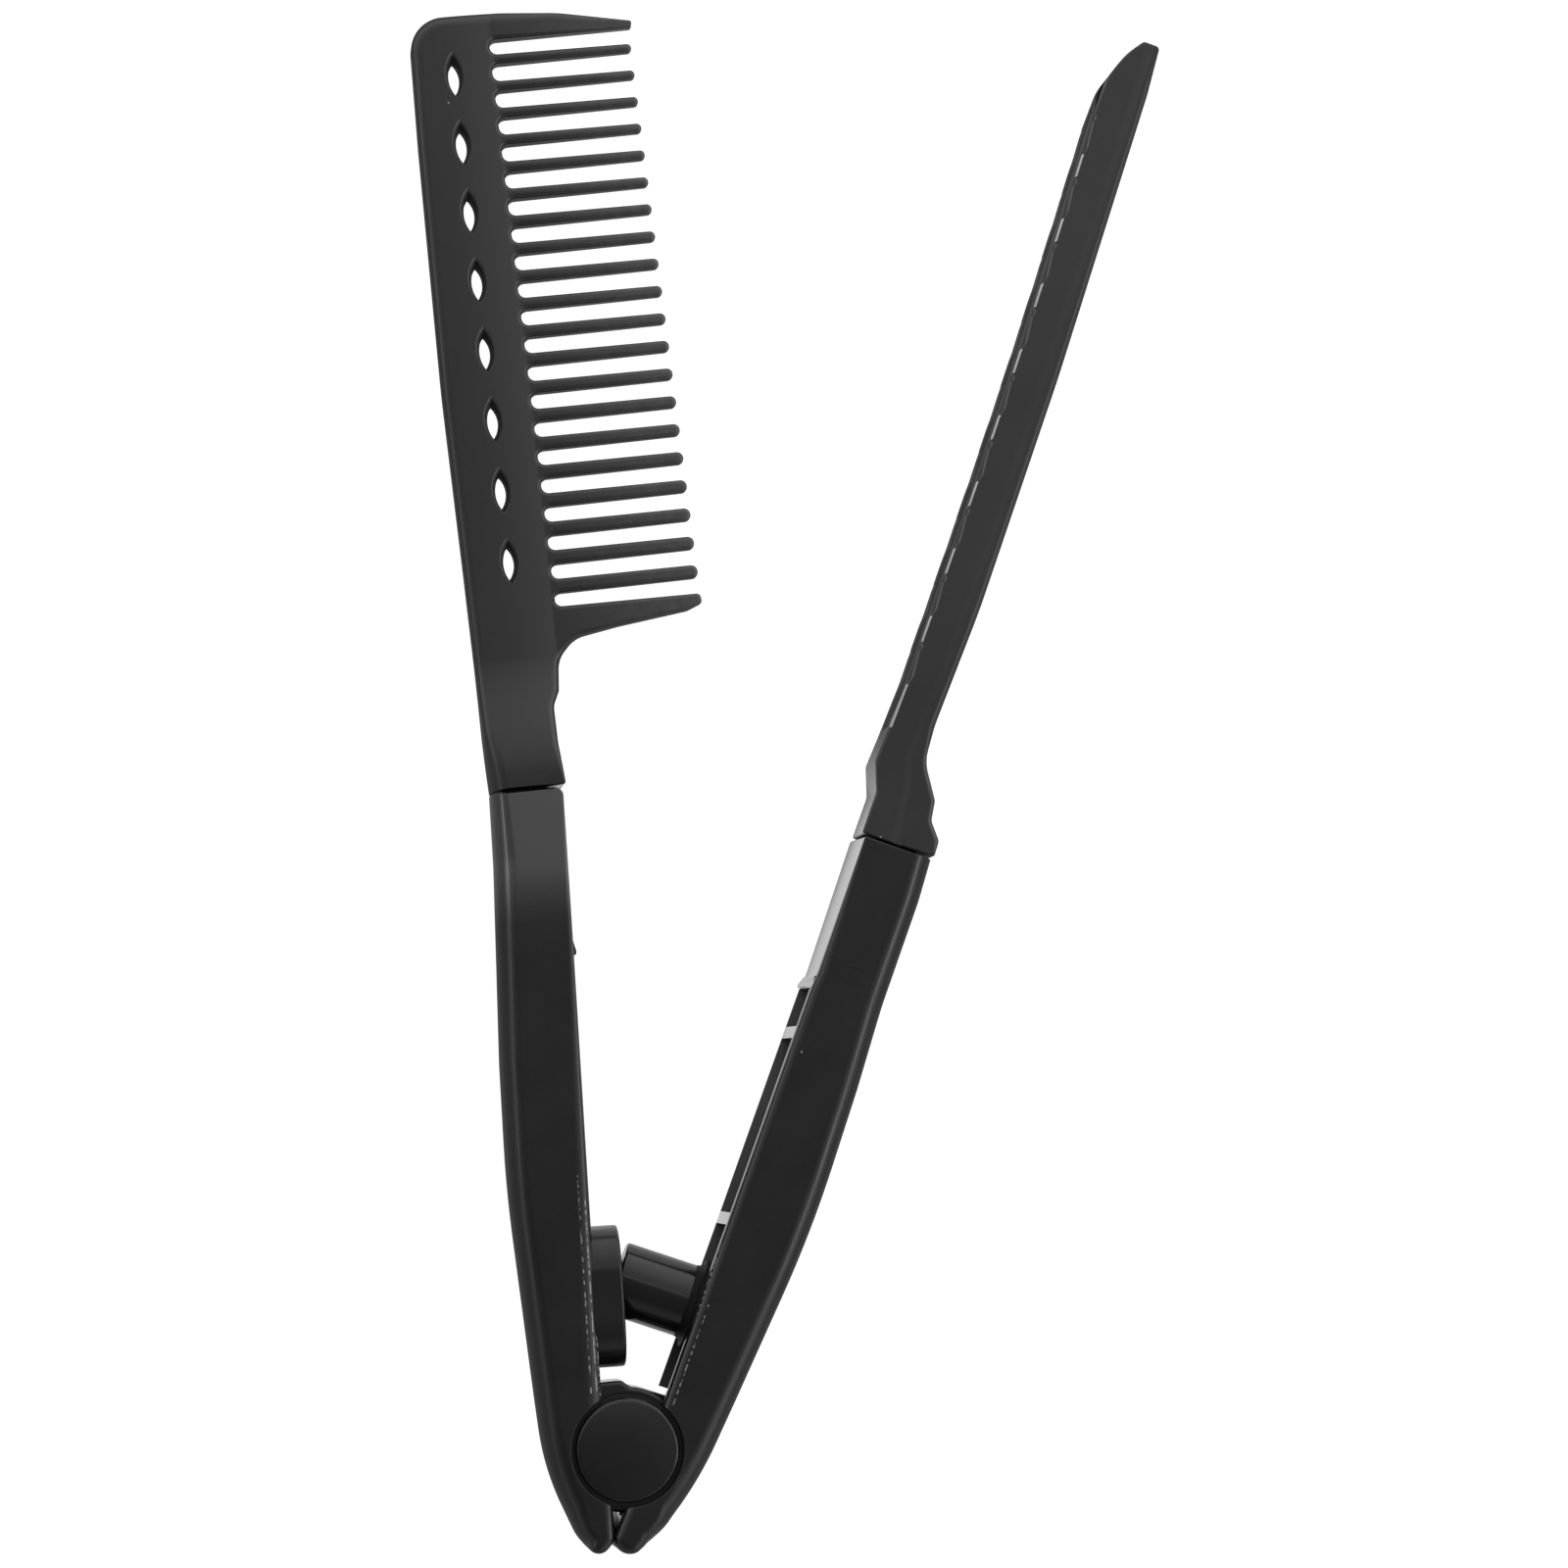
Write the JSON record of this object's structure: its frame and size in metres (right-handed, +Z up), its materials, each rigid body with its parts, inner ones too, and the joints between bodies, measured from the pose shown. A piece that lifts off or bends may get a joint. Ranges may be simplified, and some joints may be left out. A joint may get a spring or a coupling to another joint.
{
  "type": "folding comb",
  "caption": "Folding hair-straightening comb: a toothed comb arm and a long slotted blade arm on hollow handles that close about a hinge at their foot.",
  "frame": {"origin": "centre of the open comb's footprint, on the surface that it lies on", "axes": "+Z up from that surface, +Y from the hinge toward the tips, +X from the comb arm toward the blade arm"},
  "size_m": [0.1222, 0.2494, 0.0162],
  "materials": {
    "comb_black": "fine matt, moulded",
    "handle_black": "fine matt, moulded",
    "blade_black": "fine matt, moulded",
    "cup_black": "satin",
    "post_black": "glossy",
    "hinge_black": "satin"
  },
  "bodies": {
    "comb_arm": {"comb_head": "comb_black", "comb_handle": "handle_black", "spring_cup": "cup_black", "hinge_pin": "hinge_black", "hinge_cap_back": "hinge_black"},
    "blade_arm": {"slotted_blade": "blade_black", "blade_handle": "handle_black", "spring_post": "post_black"}
  },
  "joints": [
    {"name": "hinge", "type": "hinge", "parent": "comb_arm", "child": "blade_arm", "pos_m": [-0.02568, -0.10804, 0.008], "axis": [0, 0, 1], "range_deg": [0, 24], "stiffness_Nm_per_rad": 0.25, "springref_deg": -20.05}
  ]
}
